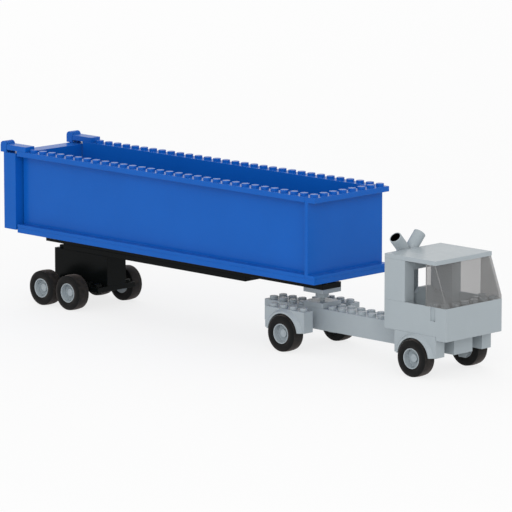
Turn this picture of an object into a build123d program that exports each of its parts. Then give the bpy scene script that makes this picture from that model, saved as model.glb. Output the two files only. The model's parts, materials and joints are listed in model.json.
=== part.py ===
from build123d import *
import math
import os

os.makedirs("parts", exist_ok=True)

# Toy construction-brick dump truck: a grey tractor with a black-framed tipping trailer in blue.
# +X is forward, +Z is up, the ground is Z = 0. Lengths are in millimetres.

# brick grid
pitch = 8.0
plate = 3.2
brick = 9.6
stud_r = 2.4
stud_h = 1.7
play = 0.1          # what a brick stands back from its grid line
clear = 0.3         # room round a turning part
shell_t = 1.5       # a brick's outer wall
skin_t = 1.2        # a plate's top skin over its open underside
tube_r = 3.25
tube_t = 0.85

# heights: the toy stands on its tyres
tyre_r = 11.0
axle_z = tyre_r
chassis_z = axle_z + plate / 2
chassis_h = 4 * plate
hood_drop = 2.2
hood_h = 17.0
cab_h = 24.0
roof_t = 2.6
hitch_z = chassis_z + chassis_h + 8.6
frame_z = hitch_z + 2.6
bed_z = frame_z + 2 * plate + stud_h
panel_h = 5 * brick
rim_z = bed_z + plate + panel_h

# lengths along X, measured from the trailer box's front face
box_n = 32
box_l = box_n * pitch
box_w = 8 * pitch
hitch_x = -3 * pitch
tractor_rear = hitch_x - 5 * pitch
tractor_w = 6 * pitch
wheelbase = 13 * pitch
rear_axle = tractor_rear + 4 * pitch
front_axle = rear_axle + wheelbase
cab_rear = front_axle - 3 * pitch
cab_front = cab_rear + 6 * pitch
knuckle_r = 2.6
knuckle_x = -box_l - 12.3
gate_front = -box_l - 1.3
gate_t = 10.7

# the frame's origin is midway between the hinge knuckles' back and the bonnet's front
shift = -(cab_front - play + knuckle_x - knuckle_r) / 2

chassis_top = chassis_z + chassis_h
hood_top = chassis_top + hood_h
roof_z = hood_top + cab_h
half_w = tractor_w / 2
beam_w = 2 * pitch - 2 * play
side_y = half_w - pitch / 2


# a plate's open underside: a pocket inside the outer wall, with clutch tubes where grid lines cross
def open_underside(x0, x1, y0, y1, z, depth):
    centre = (shift + (x0 + x1) / 2, (y0 + y1) / 2)
    with BuildSketch(Plane.XY.offset(z)) as pocket:
        with Locations(centre):
            Rectangle(x1 - x0 - 2 * shell_t, y1 - y0 - 2 * shell_t)
    extrude(pocket.sketch, amount=depth, mode=Mode.SUBTRACT)
    with BuildSketch(Plane.XY.offset(z)) as tubes:
        with Locations(centre):
            with GridLocations(pitch, pitch, round((x1 - x0) / pitch) - 1, round((y1 - y0) / pitch) - 1):
                Circle(tube_r)
                Circle(tube_r - tube_t, mode=Mode.SUBTRACT)
    extrude(tubes.sketch, amount=depth)


# tractor
beam_front = front_axle + 2 * pitch
beam_l = beam_front - tractor_rear
deck_n = int(round((cab_rear - tractor_rear) / pitch))
deck_studs = [
    (shift + tractor_rear + (k + 0.5) * pitch, s * pitch / 2)
    for k in range(deck_n)
    for s in (-1, 1)
    if abs(tractor_rear + (k + 0.5) * pitch - hitch_x) > pitch and k < deck_n - 1
]
pin_r = 1.4
pin_depth = plate

with BuildPart() as chassis_beam:
    with BuildSketch(Plane.XY.offset(chassis_z)):
        with Locations((shift + (tractor_rear + beam_front) / 2, 0)):
            Rectangle(beam_l - 2 * play, beam_w)
    extrude(amount=chassis_h)
    with BuildSketch(Plane.XY.offset(chassis_top)):
        with Locations(*deck_studs):
            Circle(stud_r)
    extrude(amount=stud_h)
    with BuildSketch(Plane.XY.offset(chassis_top)):
        with Locations((shift + hitch_x, 0)):
            Circle(pin_r + clear)
    extrude(amount=-pin_depth, mode=Mode.SUBTRACT)
    open_underside(tractor_rear, beam_front, -pitch, pitch, chassis_z, chassis_h - pin_depth - skin_t)
chassis_beam.part.label = "chassis_beam"
export_step(chassis_beam.part, "parts/chassis_beam.step")

# mudguards: a flared arch over the wheel, a tapered web with the axle stub, an arm to the chassis
arch_r = tyre_r + 3 * clear
flare_out = 2.0
flare_edge = arch_r + 1.1
flare_foot = chassis_top - axle_z
stub_r = 2.0
web_t = 1.8
web_in = 0.6
web_top = 6.5
web_foot = 2.6
web_drop = 5.5
wheel_out = half_w + 3.4
wheel_in = half_w - pitch + play + web_t + clear
tyre_w = wheel_out - wheel_in
hub_inset = 0.3
dish_d = 4.0
hub_floor = tyre_w - hub_inset - dish_d
hub_wall = 1.0
stub_end = wheel_in + hub_floor - hub_wall - clear

for end, x, studs in (("rear", rear_axle, True), ("front", front_axle, False)):
    for side, s in (("right", -1), ("left", 1)):
        face = Plane((shift + x, s * half_w, axle_z), x_dir=(1, 0, 0), z_dir=(0, s, 0))
        inner = Plane((shift + x, s * (half_w - pitch), axle_z), x_dir=(1, 0, 0), z_dir=(0, s, 0))
        up = -s
        with BuildPart() as fender:
            with BuildSketch(inner.offset(play)):
                with Locations((0, up * (chassis_z + chassis_h / 2 - axle_z))):
                    Rectangle(4 * pitch - 2 * play, chassis_h)
            extrude(amount=pitch - 2 * play)
            with BuildSketch(face.offset(-play)):
                Circle(flare_foot)
            extrude(amount=flare_out, taper=math.degrees(math.atan2(flare_foot - flare_edge, flare_out)))
            with BuildSketch(face.offset(-play)):
                with Locations((0, up * (chassis_z - axle_z - flare_foot))):
                    Rectangle(3 * flare_foot, 2 * flare_foot)
            extrude(amount=flare_out, mode=Mode.SUBTRACT)
            with BuildSketch(inner.offset(play + web_t)):
                Circle(arch_r)
            extrude(amount=pitch + flare_out, mode=Mode.SUBTRACT)
            with BuildSketch(inner.offset(play + web_in)):
                with BuildLine():
                    Polyline(
                        (-web_top, up * (chassis_z - axle_z)),
                        (web_top, up * (chassis_z - axle_z)),
                        (web_foot, -up * web_drop),
                        (-web_foot, -up * web_drop),
                        close=True,
                    )
                make_face()
            extrude(amount=web_t - web_in)
            with BuildSketch(inner.offset(play + web_in)):
                Circle(stub_r)
            extrude(amount=stub_end - (half_w - pitch) - play - web_in)
            with BuildSketch(inner.offset(play)):
                with Locations((0, up * (chassis_z + 2 * plate - axle_z))):
                    Rectangle(pitch, 2 * plate)
            extrude(amount=-pitch)
            if studs:
                with BuildSketch(Plane.XY.offset(chassis_top)):
                    with Locations((shift + x, s * side_y)):
                        with GridLocations(pitch, pitch, 4, 1):
                            Circle(stud_r)
                extrude(amount=stud_h)
        fender.part.label = f"{end}_fender_{side}"
        export_step(fender.part, f"parts/{end}_fender_{side}.step")

with BuildPart() as hitch_base:
    with BuildSketch(Plane.XY.offset(chassis_top)):
        with Locations((shift + hitch_x, 0)):
            Rectangle(beam_w, beam_w)
            Circle(pin_r + clear, mode=Mode.SUBTRACT)
    extrude(amount=plate)
hitch_base.part.label = "hitch_base"
export_step(hitch_base.part, "parts/hitch_base.step")

# cab
wall = pitch - play
inside_w = tractor_w - 2 * pitch
door_t = 1.2
groove_r = 1.9
with BuildPart() as cab_tub:
    with BuildSketch(Plane.XY.offset(chassis_top)):
        with Locations((shift + (cab_rear + cab_front) / 2, 0)):
            Rectangle(cab_front - cab_rear - 2 * play, tractor_w - 2 * play)
    extrude(amount=hood_h)
    with BuildSketch(Plane.XY.offset(chassis_top + plate)):
        with Locations((shift + (cab_rear + cab_front) / 2, 0)):
            Rectangle(cab_front - cab_rear - 2 * pitch, inside_w)
        with Locations((shift + cab_rear + 3 * pitch, 0)):
            Rectangle(2 * pitch, tractor_w - 2 * play - 2 * door_t)
    extrude(amount=hood_h, mode=Mode.SUBTRACT)
    with BuildSketch(Plane.XY.offset(chassis_top - hood_drop)):
        with Locations((shift + (beam_front + cab_front) / 2, 0)):
            Rectangle(pitch - 2 * play, tractor_w - 2 * play)
    extrude(amount=hood_drop)
    with BuildSketch(Plane.XY.offset(hood_top)):
        with Locations((shift + cab_front - pitch / 2, 0)):
            with GridLocations(pitch, pitch, 1, 6):
                Circle(stud_r)
        with Locations((shift + cab_front - 1.5 * pitch, 0)):
            with GridLocations(pitch, 2 * side_y, 1, 2):
                Circle(stud_r)
        with Locations((shift + cab_rear + pitch / 2, 0)):
            with GridLocations(pitch, pitch, 1, 4):
                Circle(stud_r)
    extrude(amount=stud_h)
    with BuildSketch(Plane.XY.offset(hood_top - brick + 1.4)):
        with Locations((shift + cab_front - 1.3 * pitch, 0)):
            with GridLocations(pitch, tractor_w, 1, 2):
                Circle(groove_r)
    extrude(amount=brick, mode=Mode.SUBTRACT)
cab_tub.part.label = "cab_tub"
export_step(cab_tub.part, "parts/cab_tub.step")

# header over the open rear window
header_h = 2 * plate - clear
with BuildPart() as cab_header:
    with BuildSketch(Plane.XY.offset(roof_z - header_h)):
        with Locations((shift + cab_rear + pitch, 0)):
            Rectangle(2 * pitch - 2 * play, inside_w)
    extrude(amount=header_h)
cab_header.part.label = "cab_header"
export_step(cab_header.part, "parts/cab_header.step")

for side, s in (("right", -1), ("left", 1)):
    with BuildPart() as cab_side:
        with BuildSketch(Plane.XY.offset(hood_top)):
            with Locations((shift + cab_rear + pitch, s * (side_y - play / 2))):
                Rectangle(2 * pitch - 2 * play, wall)
        extrude(amount=cab_h)
    cab_side.part.label = f"cab_side_{side}"
    export_step(cab_side.part, f"parts/cab_side_{side}.step")

with BuildPart() as cab_roof:
    with BuildSketch(Plane.XY.offset(roof_z)):
        with Locations((shift + cab_rear + 2.5 * pitch, 0)):
            Rectangle(5 * pitch - 2 * play, tractor_w - 2 * play)
    extrude(amount=roof_t)
cab_roof.part.label = "cab_roof"
export_step(cab_roof.part, "parts/cab_roof.step")

# windscreen: slanted front pane with wrapped sides
glass_t = 1.2
glass_x = cab_front - clear
glass_rear = cab_front - 2 * pitch
glass_top = cab_front - pitch - 0.6
lip_h = 2.0
with BuildPart() as windscreen:
    with BuildSketch(Plane.XZ.offset(-(half_w - play))):
        with BuildLine():
            Polyline(
                (shift + glass_rear, hood_top),
                (shift + glass_x, hood_top),
                (shift + glass_x, hood_top + lip_h),
                (shift + glass_top, roof_z),
                (shift + glass_rear, roof_z),
                close=True,
            )
        make_face()
    extrude(amount=tractor_w - 2 * play)
    with BuildSketch(Plane.XZ.offset(-(half_w - play - glass_t))):
        with BuildLine():
            Polyline(
                (shift + glass_rear - 1, hood_top - 1),
                (shift + glass_x - glass_t, hood_top - 1),
                (shift + glass_x - glass_t, hood_top + lip_h),
                (shift + glass_top - glass_t, roof_z),
                (shift + glass_top - glass_t, roof_z + 1),
                (shift + glass_rear - 1, roof_z + 1),
                close=True,
            )
        make_face()
    extrude(amount=tractor_w - 2 * play - 2 * glass_t, mode=Mode.SUBTRACT)
windscreen.part.label = "windscreen"
export_step(windscreen.part, "parts/windscreen.step")

# seat: a cushion with a backrest that is cut off at its upper corners
seat_x = shift + cab_rear + pitch + play
seat_z = chassis_top + plate
seat_l = 2 * pitch - 2 * play
seat_h = 2 * brick
cushion_h = 8.0
back_t = 2.5
back_cut = 3.0
with BuildPart() as seat:
    with BuildSketch(Plane.XZ.offset(-(pitch - play))):
        with BuildLine():
            Polyline(
                (seat_x, seat_z),
                (seat_x + seat_l, seat_z),
                (seat_x + seat_l, seat_z + cushion_h),
                (seat_x + back_t, seat_z + cushion_h),
                (seat_x + back_t, seat_z + seat_h),
                (seat_x, seat_z + seat_h),
                close=True,
            )
        make_face()
    extrude(amount=2 * (pitch - play))
    corners = seat.edges().filter_by(Axis.X).group_by(Axis.Z)[-1]
    chamfer(corners, back_cut)
    front = seat.edges().filter_by(Axis.Y).group_by(Axis.X)[-1].sort_by(Axis.Z)[-1]
    fillet(front, back_t / 2)
seat.part.label = "seat"
export_step(seat.part, "parts/seat.step")

# twin exhaust stacks on the deck's last studs, flared apart above the roof
stack_r = pitch / 2 - clear
stack_wall = 0.7
stack_x = cab_rear - pitch / 2
stack_top = roof_z + roof_t
flare_l = 9.5
flare_deg = 43
for side, s in (("right", -1), ("left", 1)):
    rise = flare_l * math.cos(math.radians(flare_deg))
    reach = flare_l * math.sin(math.radians(flare_deg))
    side_view = Plane((shift + stack_x, s * pitch / 2, chassis_top), x_dir=(0, s, 0), z_dir=(s, 0, 0))
    mouth = Plane(
        (shift + stack_x, s * (pitch / 2 + reach), stack_top + rise),
        x_dir=(1, 0, 0),
        z_dir=(0, s * math.sin(math.radians(flare_deg)), math.cos(math.radians(flare_deg))),
    )
    with BuildPart() as stack:
        with BuildLine(side_view) as run:
            FilletPolyline(
                (0, 0),
                (0, stack_top - chassis_top),
                (reach, stack_top - chassis_top + rise),
                radius=stack_r + 1,
            )
        with BuildSketch(Plane((shift + stack_x, s * pitch / 2, chassis_top))):
            Circle(stack_r)
        sweep(path=run.line)
        with BuildSketch(mouth):
            Circle(stack_r - stack_wall)
        extrude(amount=-(flare_l - 3), mode=Mode.SUBTRACT)
    stack.part.label = f"stack_{side}"
    export_step(stack.part, f"parts/stack_{side}.step")

# trailer frame
frame_rear = -box_l
frame_front = hitch_x + pitch
bogie_rear = -box_l + pitch
bogie_l = 6 * pitch
lower_front = -10 * pitch
upper_rear = -box_l + 2 * pitch
upper_front = -5 * pitch
front_studs = [
    (shift + frame_front - (k + 0.5) * pitch, s * pitch / 2)
    for k in range(int(round((frame_front - upper_front) / pitch)))
    for s in (-1, 1)
]
with BuildPart() as frame_beam:
    with BuildSketch(Plane.XY.offset(frame_z)):
        with Locations((shift + (frame_rear + frame_front) / 2, 0)):
            Rectangle(frame_front - frame_rear - 2 * play, beam_w)
    extrude(amount=plate)
    with BuildSketch(Plane.XY.offset(frame_z + plate)):
        with Locations(*front_studs):
            Circle(stud_r)
    extrude(amount=stud_h)
    open_underside(lower_front, hitch_x - pitch, -pitch, pitch, frame_z, plate - skin_t)
frame_beam.part.label = "frame_beam"
export_step(frame_beam.part, "parts/frame_beam.step")

with BuildPart() as frame_upper:
    with BuildSketch(Plane.XY.offset(frame_z + plate)):
        with Locations((shift + (upper_rear + upper_front) / 2, 0)):
            Rectangle(upper_front - upper_rear - 2 * play, beam_w)
    extrude(amount=plate)
    with BuildSketch(Plane.XY.offset(frame_z + 2 * plate)):
        with Locations((shift + (upper_rear + upper_front) / 2, 0)):
            with GridLocations(3 * pitch, pitch, 8, 2):
                Circle(stud_r)
    extrude(amount=stud_h)
frame_upper.part.label = "frame_upper"
export_step(frame_upper.part, "parts/frame_upper.step")

lower_rear = bogie_rear + pitch
with BuildPart() as frame_lower:
    with BuildSketch(Plane.XY.offset(frame_z - plate)):
        with Locations((shift + (lower_rear + lower_front) / 2, 0)):
            Rectangle(lower_front - lower_rear - 2 * play, beam_w)
    extrude(amount=plate)
    open_underside(bogie_rear + bogie_l, lower_front, -pitch, pitch, frame_z - plate, plate - skin_t)
frame_lower.part.label = "frame_lower"
export_step(frame_lower.part, "parts/frame_lower.step")

carrier_z = axle_z + 0.4
carrier_w = 4 * pitch
holder_r = 3.2
bogie_x = bogie_rear + bogie_l / 2
bogie_axles = (bogie_rear + pitch, bogie_rear + 4 * pitch)
with BuildPart() as bogie_block:
    with BuildSketch(Plane.XY.offset(carrier_z + plate)):
        with Locations((shift + bogie_x, 0)):
            Rectangle(bogie_l - 2 * play, beam_w)
    extrude(amount=frame_z - 2 * plate - carrier_z)
    with BuildSketch(Plane.XY.offset(frame_z - plate)):
        with Locations((shift + bogie_rear + pitch / 2, 0)):
            with GridLocations(pitch, pitch, 1, 2):
                Circle(stud_r)
    extrude(amount=stud_h)
bogie_block.part.label = "bogie_block"
export_step(bogie_block.part, "parts/bogie_block.step")

with BuildPart() as axle_carrier:
    with BuildSketch(Plane.XY.offset(carrier_z)):
        with Locations((shift + bogie_x, 0)):
            Rectangle(bogie_l - 2 * play, carrier_w - 2 * play)
    extrude(amount=plate)
    with BuildSketch(Plane.XY.offset(carrier_z + plate)):
        with Locations((shift + bogie_x, 0)):
            with GridLocations(pitch, carrier_w - pitch, 6, 2):
                Circle(stud_r)
    extrude(amount=stud_h)
    open_underside(bogie_rear, bogie_rear + bogie_l, -carrier_w / 2, carrier_w / 2, carrier_z, plate - skin_t)
    for s in (-1, 1):
        root_y = carrier_w / 2 - shell_t
        side_plane = Plane((0, s * root_y, 0), x_dir=(1, 0, 0), z_dir=(0, s, 0))
        with BuildSketch(side_plane):
            with Locations(*[(shift + x, -s * axle_z) for x in bogie_axles]):
                Circle(holder_r)
            with Locations(*[(shift + x, -s * (axle_z + plate / 2)) for x in bogie_axles]):
                Rectangle(2 * holder_r, plate)
        extrude(amount=shell_t - play)
        with BuildSketch(side_plane):
            with Locations(*[(shift + x, -s * axle_z) for x in bogie_axles]):
                Circle(stub_r)
        extrude(amount=stub_end - root_y)
axle_carrier.part.label = "axle_carrier"
export_step(axle_carrier.part, "parts/axle_carrier.step")

neck_z = chassis_top + plate + 2.0
with BuildPart() as hitch_head:
    with BuildSketch(Plane.XY.offset(hitch_z)):
        with Locations((shift + hitch_x, 0)):
            Rectangle(beam_w, beam_w)
    extrude(amount=frame_z - hitch_z)
    with BuildSketch(Plane.XY.offset(neck_z)):
        with Locations((shift + hitch_x, 0)):
            Circle(pitch / 2)
    extrude(amount=hitch_z - neck_z)
    with BuildSketch(Plane.XY.offset(chassis_top - pin_depth)):
        with Locations((shift + hitch_x, 0)):
            Circle(pin_r)
    extrude(amount=neck_z - chassis_top + pin_depth)
hitch_head.part.label = "hitch_head"
export_step(hitch_head.part, "parts/hitch_head.step")

# tipping hinge under the bed's tail
tip_x = -box_l + pitch / 2
tip_z = frame_z + plate + 1.9
tip_r = 2.6
tip_pin_r = 1.2
ear_t = 2.5
with BuildPart() as tip_knuckle:
    with BuildSketch(Plane.XZ.offset(-beam_w / 2)):
        with Locations((shift + tip_x, tip_z)):
            Circle(tip_r)
        with Locations((shift + tip_x, frame_z + plate + 0.95)):
            Rectangle(2 * tip_r, 1.9)
        with Locations((shift + tip_x, frame_z)):
            Rectangle(4 * tip_r, 2 * plate, mode=Mode.SUBTRACT)
        with Locations((shift + tip_x, tip_z)):
            Circle(tip_pin_r + clear, mode=Mode.SUBTRACT)
    extrude(amount=beam_w)
tip_knuckle.part.label = "tip_knuckle"
export_step(tip_knuckle.part, "parts/tip_knuckle.step")

with BuildPart() as tip_ears:
    for s in (-1, 1):
        ear = Plane((shift + tip_x, s * (beam_w / 2 + clear), tip_z), x_dir=(1, 0, 0), z_dir=(0, s, 0))
        with BuildSketch(ear):
            Circle(tip_r)
            with Locations((0, -s * (bed_z - tip_z) / 2)):
                Rectangle(2 * tip_r, bed_z - tip_z)
        extrude(amount=ear_t)
    with BuildSketch(Plane.XZ.offset(-(beam_w / 2 + clear + 0.5))):
        with Locations((shift + tip_x, tip_z)):
            Circle(tip_pin_r)
    extrude(amount=beam_w + 2 * clear + 1)
tip_ears.part.label = "tip_ears"
export_step(tip_ears.part, "parts/tip_ears.step")

# bed: floor, C-section side and front panels with studded rims
base_t = 2.0
panel_t = 2.5
panel_z = bed_z + plate
half_box = box_w / 2
with BuildPart() as bed_floor:
    with BuildSketch(Plane.XY.offset(bed_z)):
        with Locations((shift - box_l / 2, 0)):
            Rectangle(box_l - 2 * play, box_w - 2 * play)
    extrude(amount=plate)
    for y0, y1 in ((-half_box, -pitch), (pitch, half_box)):
        open_underside(pitch - box_l, 0, y0, y1, bed_z, plate - skin_t)
bed_floor.part.label = "bed_floor"
export_step(bed_floor.part, "parts/bed_floor.step")

side_l = box_l - pitch
for side, s in (("right", -1), ("left", 1)):
    with BuildPart() as bed_side:
        with BuildSketch(Plane.YZ.offset(shift - box_l + play)):
            with BuildLine():
                Polyline(
                    (s * (half_box - pitch), panel_z),
                    (s * (half_box - play), panel_z),
                    (s * (half_box - play), panel_z + base_t),
                    (s * (half_box - pitch + panel_t), panel_z + base_t),
                    (s * (half_box - pitch + panel_t), rim_z - plate),
                    (s * (half_box - play), rim_z - plate),
                    (s * (half_box - play), rim_z),
                    (s * (half_box - pitch), rim_z),
                    close=True,
                )
            make_face()
        extrude(amount=side_l - 2 * play)
        with BuildSketch(Plane.XY.offset(rim_z)):
            with Locations((shift - box_n * pitch / 2, s * (half_box - pitch / 2))):
                with GridLocations(pitch, pitch, box_n - 2, 1):
                    Circle(stud_r)
        extrude(amount=stud_h)
    bed_side.part.label = f"bed_side_{side}"
    export_step(bed_side.part, f"parts/bed_side_{side}.step")

with BuildPart() as bed_front:
    with BuildSketch(Plane.XZ.offset(-(half_box - play))):
        with BuildLine():
            Polyline(
                (shift - pitch, panel_z),
                (shift - play, panel_z),
                (shift - play, panel_z + base_t),
                (shift - pitch + panel_t, panel_z + base_t),
                (shift - pitch + panel_t, rim_z - plate),
                (shift - play, rim_z - plate),
                (shift - play, rim_z),
                (shift - pitch, rim_z),
                close=True,
            )
        make_face()
    extrude(amount=box_w - 2 * play)
    with BuildSketch(Plane.XY.offset(rim_z)):
        with Locations((shift - pitch / 2, 0)):
            with GridLocations(pitch, pitch, 1, 8):
                Circle(stud_r)
    extrude(amount=stud_h)
bed_front.part.label = "bed_front"
export_step(bed_front.part, "parts/bed_front.step")

# tailgate hinge: two fingers on each bed tile, three on the gate
finger_n = 5
finger_w = (pitch - 2 * play - (finger_n - 1) * clear) / finger_n
finger_step = finger_w + clear
knuckle_z = rim_z + knuckle_r
gate_pin_r = 1.0
tile_rear = knuckle_x + knuckle_r + clear
tile_front = -box_l + pitch
for side, s in (("right", -1), ("left", 1)):
    mid_y = s * (half_box - pitch / 2)
    with BuildPart() as tile:
        with BuildSketch(Plane.XY.offset(rim_z)):
            with Locations((shift + (tile_rear + tile_front) / 2, mid_y)):
                Rectangle(tile_front - tile_rear - play, pitch - 2 * play)
        extrude(amount=plate)
        for k in (-1, 1):
            with BuildSketch(Plane.XZ.offset(-(mid_y + k * finger_step) - finger_w / 2)):
                with Locations((shift + knuckle_x, knuckle_z)):
                    Circle(knuckle_r)
                with Locations((shift + (knuckle_x + tile_rear + 1) / 2, rim_z + plate / 2)):
                    Rectangle(tile_rear + 1 - knuckle_x, plate)
                with Locations((shift + knuckle_x, knuckle_z)):
                    Circle(gate_pin_r + clear, mode=Mode.SUBTRACT)
            extrude(amount=finger_w)
    tile.part.label = f"hinge_tile_{side}"
    export_step(tile.part, f"parts/hinge_tile_{side}.step")

gate_top = rim_z - stud_h
gate_h = panel_h
gate_x = gate_front - gate_t / 2
gate_skin = plate
with BuildPart() as tailgate:
    with BuildSketch(Plane.YZ.offset(shift + gate_front - gate_t)):
        with Locations((0, gate_top - gate_h / 2)):
            Rectangle(box_w - 2 * play, gate_h)
    extrude(amount=gate_t)
    with BuildSketch(Plane.YZ.offset(shift + gate_front - gate_t)):
        with Locations((0, gate_top - gate_h / 2)):
            with GridLocations((box_w - pitch) / 2, pitch, 2, 1):
                Rectangle((box_w - 3 * pitch) / 2, gate_h - 2 * pitch)
    extrude(amount=gate_t - gate_skin, mode=Mode.SUBTRACT)
tailgate.part.label = "tailgate"
export_step(tailgate.part, "parts/tailgate.step")

for side, s in (("right", -1), ("left", 1)):
    mid_y = s * (half_box - pitch / 2)
    with BuildPart() as gate_hinge:
        for k in (-2, 0, 2):
            with BuildSketch(Plane.XZ.offset(-(mid_y + k * finger_step) - finger_w / 2)):
                with Locations((shift + knuckle_x, knuckle_z)):
                    Circle(knuckle_r)
                with Locations((shift + knuckle_x, (knuckle_z + gate_top) / 2)):
                    Rectangle(2 * knuckle_r, knuckle_z - gate_top)
            extrude(amount=finger_w)
        with BuildSketch(Plane.XZ.offset(-mid_y - 2 * finger_step)):
            with Locations((shift + knuckle_x, knuckle_z)):
                Circle(gate_pin_r)
        extrude(amount=4 * finger_step)
    gate_hinge.part.label = f"gate_hinge_{side}"
    export_step(gate_hinge.part, f"parts/gate_hinge_{side}.step")

# wheels
hub_r = 6.0
rim_t = 0.6
bulge = 0.6
crown = 0.3
shoulder_r = 0.5
tread_r = tyre_r - crown
mid_r = (hub_r + tread_r) / 2
wheel_table = [
    ("front_right", front_axle, -1),
    ("front_left", front_axle, 1),
    ("drive_right", rear_axle, -1),
    ("drive_left", rear_axle, 1),
    ("bogie_fore_right", bogie_axles[1], -1),
    ("bogie_fore_left", bogie_axles[1], 1),
    ("bogie_aft_right", bogie_axles[0], -1),
    ("bogie_aft_left", bogie_axles[0], 1),
]
for name, x, s in wheel_table:
    axis = Plane((shift + x, s * wheel_in, axle_z), x_dir=(1, 0, 0), z_dir=(0, s, 0))
    section = Plane(axis.origin, x_dir=(0, s, 0), z_dir=(s, 0, 0))
    with BuildPart() as tyre:
        with BuildSketch(section):
            with BuildLine():
                ThreePointArc((tyre_w - bulge, hub_r), (tyre_w, mid_r), (tyre_w - bulge, tread_r))
                ThreePointArc((tyre_w - bulge, tread_r), (tyre_w / 2, tyre_r), (bulge, tread_r))
                ThreePointArc((bulge, tread_r), (0, mid_r), (bulge, hub_r))
                Line((bulge, hub_r), (tyre_w - bulge, hub_r))
            make_face()
        revolve(axis=Axis(axis.origin, (0, 1, 0)))
        rims = tyre.edges().filter_by(GeomType.CIRCLE).filter_by(lambda e: abs(e.radius - tread_r) < 0.01)
        fillet(rims, shoulder_r)
    tyre.part.label = f"tyre_{name}"
    export_step(tyre.part, f"parts/tyre_{name}.step")
    with BuildPart() as hub:
        with BuildSketch(axis.offset(hub_inset)):
            Circle(hub_r)
        extrude(amount=tyre_w - 2 * hub_inset)
        with BuildSketch(axis.offset(hub_floor)):
            Circle(hub_r - rim_t)
        extrude(amount=tyre_w - hub_floor, mode=Mode.SUBTRACT)
        with BuildSketch(axis.offset(hub_floor)):
            Circle(stud_r)
        extrude(amount=stud_h)
        with BuildSketch(axis):
            Circle(stub_r + clear)
        extrude(amount=hub_floor - hub_wall, mode=Mode.SUBTRACT)
    hub.part.label = f"hub_{name}"
    export_step(hub.part, f"parts/hub_{name}.step")
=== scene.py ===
import json
import math
import bmesh
import bpy
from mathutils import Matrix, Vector

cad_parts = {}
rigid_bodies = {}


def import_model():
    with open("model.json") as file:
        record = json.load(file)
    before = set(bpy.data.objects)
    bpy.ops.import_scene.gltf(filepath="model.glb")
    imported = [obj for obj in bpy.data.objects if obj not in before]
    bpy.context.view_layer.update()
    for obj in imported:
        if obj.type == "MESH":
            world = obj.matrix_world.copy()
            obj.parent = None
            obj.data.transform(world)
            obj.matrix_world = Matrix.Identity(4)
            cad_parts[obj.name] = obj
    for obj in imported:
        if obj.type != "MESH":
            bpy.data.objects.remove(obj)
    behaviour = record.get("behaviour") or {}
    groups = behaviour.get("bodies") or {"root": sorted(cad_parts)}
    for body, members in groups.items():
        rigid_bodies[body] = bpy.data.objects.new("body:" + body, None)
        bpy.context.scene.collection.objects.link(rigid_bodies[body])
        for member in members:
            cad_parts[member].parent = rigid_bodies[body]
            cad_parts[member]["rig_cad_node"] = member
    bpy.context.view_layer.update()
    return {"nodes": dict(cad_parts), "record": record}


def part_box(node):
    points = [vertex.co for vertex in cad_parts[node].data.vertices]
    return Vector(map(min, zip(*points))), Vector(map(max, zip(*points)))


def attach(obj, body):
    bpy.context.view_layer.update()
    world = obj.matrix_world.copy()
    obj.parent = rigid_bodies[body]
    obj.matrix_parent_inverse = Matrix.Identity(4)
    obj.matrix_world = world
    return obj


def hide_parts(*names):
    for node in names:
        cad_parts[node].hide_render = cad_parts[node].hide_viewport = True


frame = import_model()
nodes = frame["nodes"]
slotOf = {row["node"]: row["material_slot"] for row in frame["record"]["subparts"]}
bodies = frame["record"]["behaviour"]["bodies"]
bodyOf = {name: body for body, members in bodies.items() for name in members}
print("frame loaded:", len(nodes), "pieces")

# shapes are in metres, and textures are laid out in millimetres
perMetre = 1000.0


# small helpers for node trees
def addNode(tree, kind, **settings):
    node = tree.nodes.new(kind)
    for key, value in settings.items():
        setattr(node, key, value)
    return node


def setIn(node, **values):
    for key, value in values.items():
        node.inputs[key.replace("_", " ")].default_value = value


def newGroup(name, takes, gives):
    group = bpy.data.node_groups.new(name, "ShaderNodeTree")
    for label, value in takes:
        socket = group.interface.new_socket(label, in_out="INPUT", socket_type="NodeSocketFloat")
        socket.default_value = value
    for label in gives:
        group.interface.new_socket(label, in_out="OUTPUT", socket_type="NodeSocketFloat")
    return group, addNode(group, "NodeGroupInput"), addNode(group, "NodeGroupOutput")


def millimetres(tree):
    coord = addNode(tree, "ShaderNodeTexCoord")
    grow = addNode(tree, "ShaderNodeVectorMath", operation="SCALE")
    setIn(grow, Scale=perMetre)
    tree.links.new(coord.outputs["Object"], grow.inputs[0])
    return grow.outputs[0]


def ramp(tree, value, low, high, toLow=0.0, toHigh=1.0):
    node = addNode(tree, "ShaderNodeMapRange")
    setIn(node, From_Min=low, From_Max=high, To_Min=toLow, To_Max=toHigh)
    tree.links.new(value, node.inputs["Value"])
    return node.outputs[0]


def noise(tree, vector, scale, detail, roughness=0.5):
    node = addNode(tree, "ShaderNodeTexNoise")
    setIn(node, Scale=scale, Detail=detail, Roughness=roughness)
    tree.links.new(vector, node.inputs["Vector"])
    return node.outputs["Fac"]


# noise as a mask: nothing at the window's first end, full at its second
def patches(tree, vector, window, **grain):
    return ramp(tree, noise(tree, vector, **grain), *window)


def times(tree, a, b):
    node = addNode(tree, "ShaderNodeMath", operation="MULTIPLY")
    tree.links.new(a, node.inputs[0])
    if isinstance(b, float):
        node.inputs[1].default_value = b
    else:
        tree.links.new(b, node.inputs[1])
    return node.outputs[0]


def larger(tree, a, b):
    node = addNode(tree, "ShaderNodeMath", operation="MAXIMUM")
    tree.links.new(a, node.inputs[0])
    tree.links.new(b, node.inputs[1])
    return node.outputs[0]


def tint(tree, mask, colourA, colourB):
    node = addNode(tree, "ShaderNodeMix", data_type="RGBA")
    tree.links.new(mask, node.inputs["Factor"])
    # sockets 6 and 7 take the node's colours, and output 2 gives the mixed one
    for socket, colour in ((node.inputs[6], colourA), (node.inputs[7], colourB)):
        if isinstance(colour, tuple):
            socket.default_value = (*colour, 1)
        else:
            tree.links.new(colour, socket)
    return node.outputs[2]


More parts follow.
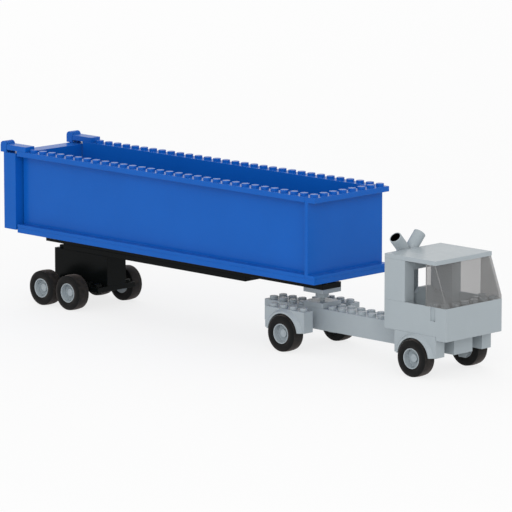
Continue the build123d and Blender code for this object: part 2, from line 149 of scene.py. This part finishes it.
def normalParts(tree):
    facing = addNode(tree, "ShaderNodeNewGeometry")
    parts = addNode(tree, "ShaderNodeSeparateXYZ")
    tree.links.new(facing.outputs["Normal"], parts.inputs[0])
    return parts.outputs


# moulded skin: slow tone drift, hairline scuffs and the fine ripple of the mould
skinLook = {
    "driftScale": 0.03,
    "drift": {"detail": 3.0, "roughness": 0.55, "window": (0.32, 0.68)},
    "scuff": {"scale": 1.0, "detail": 3.0, "roughness": 0.6, "window": (0.66, 0.76)},
    "scuffLays": [
        {"turn": 0.5, "stretch": (0.05, 2.2, 2.2)},
        {"turn": -0.9, "stretch": (2.0, 0.06, 2.0)},
        {"turn": 0.3, "stretch": (1.8, 1.8, 0.05)},
    ],
    "turnShares": (1.0, 0.7, 0.4),
    "scuffedAreas": {"scale": 0.05, "detail": 2.0, "window": (0.42, 0.62)},
    "ripple": {"scale": 0.8, "detail": 1.0},
}


def mouldedSkin(look):
    takes = [("Drift Scale", look["driftScale"])]
    group, take, give = newGroup("mouldedSkin", takes, ["Drift", "Scuff", "Ripple"])
    where = millimetres(group)
    drift = addNode(group, "ShaderNodeTexNoise")
    setIn(drift, Detail=look["drift"]["detail"], Roughness=look["drift"]["roughness"])
    group.links.new(where, drift.inputs["Vector"])
    group.links.new(take.outputs["Drift Scale"], drift.inputs["Scale"])
    lines = []
    for row in look["scuffLays"]:
        lay = addNode(group, "ShaderNodeMapping")
        lay.inputs["Rotation"].default_value = [row["turn"] * share for share in look["turnShares"]]
        lay.inputs["Scale"].default_value = row["stretch"]
        group.links.new(where, lay.inputs["Vector"])
        lines.append(patches(group, lay.outputs[0], **look["scuff"]))
    scuffs = lines[0]
    for line in lines[1:]:
        scuffs = larger(group, scuffs, line)
    areas = patches(group, where, **look["scuffedAreas"])
    group.links.new(ramp(group, drift.outputs["Fac"], *look["drift"]["window"]), give.inputs["Drift"])
    group.links.new(times(group, scuffs, areas), give.inputs["Scuff"])
    group.links.new(noise(group, where, **look["ripple"]), give.inputs["Ripple"])
    return group


# rubbed edges: the rounded normal is set against the flat one
edgeLook = {
    "radius": 0.00035,
    "samples": 4,
    "worn": (0.98, 0.8),
    "broken": {"scale": 0.35, "detail": 3.0, "window": (0.35, 0.6)},
}


def rubbedEdge(look):
    group, take, give = newGroup("rubbedEdge", [("Amount", 1.0)], ["Edge"])
    rounded = addNode(group, "ShaderNodeBevel", samples=look["samples"])
    setIn(rounded, Radius=look["radius"])
    flat = addNode(group, "ShaderNodeNewGeometry")
    dot = addNode(group, "ShaderNodeVectorMath", operation="DOT_PRODUCT")
    group.links.new(rounded.outputs[0], dot.inputs[0])
    group.links.new(flat.outputs["Normal"], dot.inputs[1])
    worn = ramp(group, dot.outputs["Value"], *look["worn"])
    broken = patches(group, millimetres(group), **look["broken"])
    edge = times(group, times(group, worn, broken), take.outputs["Amount"])
    group.links.new(edge, give.inputs["Edge"])
    return group


# dust that settles on what faces up
dustLook = {
    "upward": (0.5, 1.0),
    "cloud": {"scale": 0.12, "detail": 4.0, "roughness": 0.6, "window": (0.35, 0.75)},
}


def restingDust(look):
    group, take, give = newGroup("restingDust", [("Amount", 0.1)], ["Dust"])
    upward = ramp(group, normalParts(group)["Z"], *look["upward"])
    cloud = patches(group, millimetres(group), **look["cloud"])
    dust = times(group, times(group, upward, cloud), take.outputs["Amount"])
    group.links.new(dust, give.inputs["Dust"])
    return group


skinGroup = mouldedSkin(skinLook)
edgeGroup = rubbedEdge(edgeLook)
dustGroup = restingDust(dustLook)


def newFinish(name):
    finish = bpy.data.materials.new(name)
    finish.use_nodes = True
    tree = finish.node_tree
    tree.nodes.clear()
    shader = addNode(tree, "ShaderNodeBsdfPrincipled")
    out = addNode(tree, "ShaderNodeOutputMaterial")
    tree.links.new(shader.outputs[0], out.inputs["Surface"])
    return finish, tree, shader


def useGroup(tree, group, **values):
    node = addNode(tree, "ShaderNodeGroup", node_tree=group)
    setIn(node, **values)
    return node


def roughen(tree, shader, mask, span):
    tree.links.new(ramp(tree, mask, 0.0, 1.0, *span), shader.inputs["Roughness"])


def ripple(tree, shader, height, strength, depth):
    bump = addNode(tree, "ShaderNodeBump")
    setIn(bump, Strength=strength, Distance=depth)
    tree.links.new(height, bump.inputs["Height"])
    tree.links.new(bump.outputs[0], shader.inputs["Normal"])


# glossy moulded bricks: what the three colours share, then each colour's own look
brickLook = {
    "driftScale": 0.03,
    "rubbed": 0.55,
    "dusty": 0.05,
    "dust": (0.55, 0.54, 0.52),
    "ior": 1.5,
    "ripple": {"strength": 0.12, "depth": 0.00004},
}
brickFinishes = {
    "blue_plastic": {
        "body": (0.0050, 0.110, 0.480),
        "deep": (0.0042, 0.103, 0.455),
        "rub": (0.030, 0.17, 0.57),
        "gloss": (0.24, 0.32),
        "specular": 0.13,
    },
    "grey_plastic": {
        "body": (0.372, 0.418, 0.445),
        "deep": (0.352, 0.398, 0.425),
        "rub": (0.49, 0.53, 0.55),
        "gloss": (0.26, 0.36),
        "specular": 0.22,
    },
    "black_plastic": {
        "body": (0.0034, 0.0046, 0.0046),
        "deep": (0.0026, 0.0036, 0.0036),
        "rub": (0.014, 0.016, 0.016),
        "gloss": (0.28, 0.38),
        "specular": 0.07,
    },
}


def brickPlastic(name, look):
    finish, tree, shader = newFinish(name)
    skin = useGroup(tree, skinGroup, Drift_Scale=brickLook["driftScale"])
    edge = useGroup(tree, edgeGroup, Amount=brickLook["rubbed"])
    dust = useGroup(tree, dustGroup, Amount=brickLook["dusty"])
    colour = tint(tree, skin.outputs["Drift"], look["deep"], look["body"])
    colour = tint(tree, edge.outputs["Edge"], colour, look["rub"])
    colour = tint(tree, dust.outputs["Dust"], colour, brickLook["dust"])
    tree.links.new(colour, shader.inputs["Base Color"])
    roughen(tree, shader, skin.outputs["Scuff"], look["gloss"])
    setIn(shader, Specular_IOR_Level=look["specular"], IOR=brickLook["ior"])
    ripple(tree, shader, skin.outputs["Ripple"], **brickLook["ripple"])
    return finish


finishes = {slot: brickPlastic(slot, look) for slot, look in brickFinishes.items()}
print("brick finishes:", ", ".join(finishes))

# tyre rubber: dull, finely grained, its running surface painted paler all round: some dust, and a painted
# highlight for the top-lit tyre
tyreLook = {
    "wall": (0.0062, 0.0070, 0.0074),
    "tread": (0.034, 0.030, 0.028),
    "treadDustAndHighlight": (0.75, 0.1),
    "blotch": {"scale": 0.4, "detail": 4.0, "roughness": 0.6, "window": (0.3, 0.7)},
    "dull": (0.62, 0.82),
    "specular": 0.12,
    "bloom": 0.4,
    "bloomRoughness": 0.4,
    "bloomTint": (0.62, 0.53, 0.49),
    "grain": {"scale": 1.6, "detail": 2.0},
    "ripple": {"strength": 0.25, "depth": 0.00008},
    "smooth": 32.0,
}


def tyreRubber(look):
    finish, tree, shader = newFinish("tyre_rubber")
    where = millimetres(tree)
    sideways = addNode(tree, "ShaderNodeMath", operation="ABSOLUTE")
    tree.links.new(normalParts(tree)["Y"], sideways.inputs[0])
    # painted highlight and dust: faces that don't face sideways get the paler brownish colour
    treadDustAndHighlight = ramp(tree, sideways.outputs[0], *look["treadDustAndHighlight"])
    blotch = patches(tree, where, **look["blotch"])
    colour = tint(tree, times(tree, treadDustAndHighlight, blotch), look["wall"], look["tread"])
    tree.links.new(colour, shader.inputs["Base Color"])
    roughen(tree, shader, blotch, look["dull"])
    setIn(shader, Specular_IOR_Level=look["specular"])
    setIn(shader, Sheen_Weight=look["bloom"], Sheen_Roughness=look["bloomRoughness"])
    setIn(shader, Sheen_Tint=(*look["bloomTint"], 1))
    ripple(tree, shader, noise(tree, where, **look["grain"]), **look["ripple"])
    return finish


finishes["tyre_rubber"] = tyreRubber(tyreLook)
print("tyre rubber done")

# smoke-tinted clear plastic of the windscreen
screenLook = {
    "tint": (0.46, 0.46, 0.46),
    "dim": 0.94,
    "driftScale": 0.05,
    "roughness": (0.02, 0.08),
    "clear": 0.82,
    "ior": 1.2,
    "ripple": {"strength": 0.04, "depth": 0.00002},
}


def smokeClear(look):
    finish, tree, shader = newFinish("smoke_clear_plastic")
    skin = useGroup(tree, skinGroup, Drift_Scale=look["driftScale"])
    dimmed = tuple(part * look["dim"] for part in look["tint"])
    tree.links.new(tint(tree, skin.outputs["Drift"], dimmed, look["tint"]), shader.inputs["Base Color"])
    roughen(tree, shader, skin.outputs["Scuff"], look["roughness"])
    setIn(shader, Transmission_Weight=look["clear"], IOR=look["ior"])
    ripple(tree, shader, skin.outputs["Ripple"], **look["ripple"])
    return finish


finishes["smoke_clear_plastic"] = smokeClear(screenLook)
print("windscreen plastic done")

# the same grey with painted shade, near black, inside the two pipes, lengths in millimetres
stackLook = {
    "paintedShade": (0.0012, 0.0012, 0.0012),
    "bore": 3.25,
    "boreFade": 0.2,
    "depth": 7.0,
    "depthFade": (-0.5, 0.3),
    "flare": 43.0,
}


def stackGrey(look):
    finish = brickPlastic("stack_grey", brickFinishes["grey_plastic"])
    tree = finish.node_tree
    shader = next(n for n in tree.nodes if n.type == "BSDF_PRINCIPLED")
    where = millimetres(tree)
    # middle of the left pipe's mouth, and the same place mirrored for the right one
    low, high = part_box("stack_left")
    lip = (high.x - low.x) / 2
    lean = math.radians(look["flare"])
    mouth = Vector((low.x + lip, high.y - lip * math.cos(lean), high.z - lip * math.sin(lean)))
    mirrored = addNode(tree, "ShaderNodeVectorMath", operation="ABSOLUTE")
    tree.links.new(where, mirrored.inputs[0])
    turned = addNode(tree, "ShaderNodeMapping", vector_type="TEXTURE")
    turned.inputs["Location"].default_value = mouth * perMetre
    turned.inputs["Rotation"].default_value = (-lean, 0, 0)
    tree.links.new(mirrored.outputs[0], turned.inputs["Vector"])
    parts = addNode(tree, "ShaderNodeSeparateXYZ")
    tree.links.new(turned.outputs[0], parts.inputs[0])
    flat = addNode(tree, "ShaderNodeCombineXYZ")
    tree.links.new(parts.outputs["X"], flat.inputs["X"])
    tree.links.new(parts.outputs["Y"], flat.inputs["Y"])
    reach = addNode(tree, "ShaderNodeVectorMath", operation="LENGTH")
    tree.links.new(flat.outputs[0], reach.inputs[0])
    # painted shade: inside the bore, and down to the given depth below each mouth, the grey turns near
    # black
    inside = ramp(tree, reach.outputs["Value"], look["bore"], look["bore"] - look["boreFade"])
    shadeFadeStart, shadeFadeEnd = (fade - look["depth"] for fade in look["depthFade"])
    nearMouth = ramp(tree, parts.outputs["Z"], shadeFadeStart, shadeFadeEnd)
    plain = shader.inputs["Base Color"].links[0].from_socket
    shadedBore = tint(tree, times(tree, inside, nearMouth), plain, look["paintedShade"])
    tree.links.new(shadedBore, shader.inputs["Base Color"])
    return finish


stackFinish = stackGrey(stackLook)
for name, piece in nodes.items():
    piece.data.materials.clear()
    piece.data.materials.append(stackFinish if name.startswith("stack_") else finishes[slotOf[name]])
print("finishes on", len(nodes), "pieces")

# moulded pieces: a welded copy of each solid but the tyres, its outer edges rounded as they leave the mould
mouldLook = {"round": 0.00018, "steps": 3, "sharp": 40.0, "weld": 0.00002, "flat": 0.5, "smooth": 34.0}


def pickOuterEdges(shape, sharp):
    picked = 0
    for edge in shape.edges:
        if len(edge.link_faces) == 2 and edge.calc_face_angle_signed(0.0) > sharp:
            edge.select_set(True)
            picked += 1
    return picked


def mouldedCopy(name, look):
    bpy.ops.object.select_all(action="DESELECT")
    nodes[name].select_set(True)
    bpy.context.view_layer.objects.active = nodes[name]
    bpy.ops.object.duplicate()
    copy = bpy.context.active_object
    copy.name = name + "_moulded"
    del copy["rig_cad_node"]
    bpy.ops.object.mode_set(mode="EDIT")
    bpy.ops.mesh.select_all(action="SELECT")
    bpy.ops.mesh.remove_doubles(threshold=look["weld"])
    bpy.ops.mesh.dissolve_limited(angle_limit=math.radians(look["flat"]))
    bpy.ops.mesh.select_mode(type="EDGE")
    bpy.ops.mesh.select_all(action="DESELECT")
    shape = bmesh.from_edit_mesh(copy.data)
    picked = pickOuterEdges(shape, math.radians(look["sharp"]))
    bmesh.update_edit_mesh(copy.data)
    # the arches' short curved edges would hold the rounding back
    clamp = "fender" not in name
    if picked:
        bpy.ops.mesh.bevel(
            offset=look["round"], segments=look["steps"], affect="EDGES", clamp_overlap=clamp
        )
    bpy.ops.mesh.select_all(action="DESELECT")
    bpy.ops.mesh.edges_select_sharp(sharpness=math.radians(look["smooth"]))
    bpy.ops.mesh.mark_sharp()
    bpy.ops.object.mode_set(mode="OBJECT")
    bpy.ops.object.shade_smooth(keep_sharp_edges=True)
    weigh = copy.modifiers.new("flatFaces", "WEIGHTED_NORMAL")
    weigh.keep_sharp = True
    bpy.ops.object.modifier_apply(modifier=weigh.name)
    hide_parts(name)
    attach(copy, bodyOf[name])
    return copy


moulded = [mouldedCopy(name, mouldLook) for name in nodes if not name.startswith("tyre_")]
# the clear screen lets the lamps' light into the cab
bpy.data.objects["windscreen_moulded"].visible_shadow = False
print("moulded pieces:", len(moulded))

# the tyres keep their own mesh, shaded smooth but for its sharp edges
bpy.ops.object.select_all(action="DESELECT")
for name, piece in nodes.items():
    if name.startswith("tyre_"):
        piece.select_set(True)
        bpy.context.view_layer.objects.active = piece
bpy.ops.object.shade_smooth_by_angle(angle=math.radians(tyreLook["smooth"]))
bpy.ops.object.select_all(action="DESELECT")
print("shading set")


# rays that should meet the white background: straight ones, mirrored ones and those through the screen
def backdropRays(tree):
    rays = addNode(tree, "ShaderNodeLightPath")
    seen = rays.outputs["Is Camera Ray"]
    for kind in ("Is Glossy Ray", "Is Transmission Ray"):
        seen = larger(tree, seen, rays.outputs[kind])
    return seen


# plain pale floor: near white towards the camera, with the toy's shadow on it
floorLook = {"size": 60.0, "colour": (0.9, 0.9, 0.9), "white": 0.78}


def mixShaders(tree, share, first, second):
    mix = addNode(tree, "ShaderNodeMixShader")
    tree.links.new(share, mix.inputs["Fac"])
    tree.links.new(first.outputs[0], mix.inputs[1])
    tree.links.new(second.outputs[0], mix.inputs[2])
    return mix


def paleFloor(look):
    bpy.ops.mesh.primitive_plane_add(size=look["size"], location=(0, 0, 0))
    floor = bpy.context.active_object
    floor.name = "floor"
    finish = bpy.data.materials.new("floor_white")
    finish.use_nodes = True
    tree = finish.node_tree
    tree.nodes.clear()
    matt = addNode(tree, "ShaderNodeBsdfDiffuse")
    setIn(matt, Color=(*look["colour"], 1))
    glow = addNode(tree, "ShaderNodeEmission")
    above = mixShaders(tree, times(tree, backdropRays(tree), look["white"]), matt, glow)
    # seen from below it is clear, so that the underside shows
    side = addNode(tree, "ShaderNodeNewGeometry")
    clear = addNode(tree, "ShaderNodeBsdfTransparent")
    both = mixShaders(tree, side.outputs["Backfacing"], above, clear)
    out = addNode(tree, "ShaderNodeOutputMaterial")
    tree.links.new(both.outputs[0], out.inputs["Surface"])
    floor.data.materials.append(finish)


paleFloor(floorLook)
print("floor laid")

# studio light: two large soft boxes and an even room
lightLook = {
    "key": {"at": (1.5, -1.7, 0.95), "size": 1.6, "watts": 22.0},
    "fill": {"at": (-1.6, 1.2, 1.6), "size": 1.8, "watts": 10.0},
    "aim": (0, 0, 0.05),
    "room": 0.95,
    "backdrop": 1.0,
}


def softBox(name, look, aim):
    bpy.ops.object.light_add(type="AREA", location=look["at"])
    lamp = bpy.context.active_object
    lamp.name = name
    lamp.data.shape = "SQUARE"
    lamp.data.size = look["size"]
    lamp.data.energy = look["watts"]
    ahead = Vector(aim) - Vector(look["at"])
    lamp.rotation_euler = ahead.to_track_quat("-Z", "Y").to_euler()


def evenRoom(look):
    room = bpy.data.worlds.new("room")
    bpy.context.scene.world = room
    room.use_nodes = True
    tree = room.node_tree
    tree.nodes.clear()
    glow = addNode(tree, "ShaderNodeBackground")
    level = ramp(tree, backdropRays(tree), 0.0, 1.0, look["room"], look["backdrop"])
    tree.links.new(level, glow.inputs["Strength"])
    out = addNode(tree, "ShaderNodeOutputWorld")
    tree.links.new(glow.outputs[0], out.inputs["Surface"])


softBox("keyBox", lightLook["key"], lightLook["aim"])
softBox("fillBox", lightLook["fill"], lightLook["aim"])
evenRoom(lightLook)
print("lights set")

# camera at the picture's viewing angle
viewLook = {
    "at": (1.7621, -1.7799, 0.4976),
    "yaw": 134.572,
    "pitch": -10.198,
    "focalPixels": 4239.6,
    "widthPixels": 512,
    "sensor": 36.0,
    "clip": (0.05, 200.0),
}


def pictureCamera(look):
    bpy.ops.object.camera_add(location=look["at"])
    camera = bpy.context.active_object
    yaw = math.radians(look["yaw"])
    pitch = math.radians(look["pitch"])
    level = math.cos(pitch)
    ahead = Vector((level * math.cos(yaw), level * math.sin(yaw), math.sin(pitch)))
    camera.rotation_euler = ahead.to_track_quat("-Z", "Y").to_euler()
    camera.data.sensor_width = look["sensor"]
    camera.data.lens = look["focalPixels"] * look["sensor"] / look["widthPixels"]
    camera.data.clip_start, camera.data.clip_end = look["clip"]
    bpy.context.scene.camera = camera


pictureCamera(viewLook)
bpy.context.scene.view_settings.view_transform = "Standard"
print("camera set")
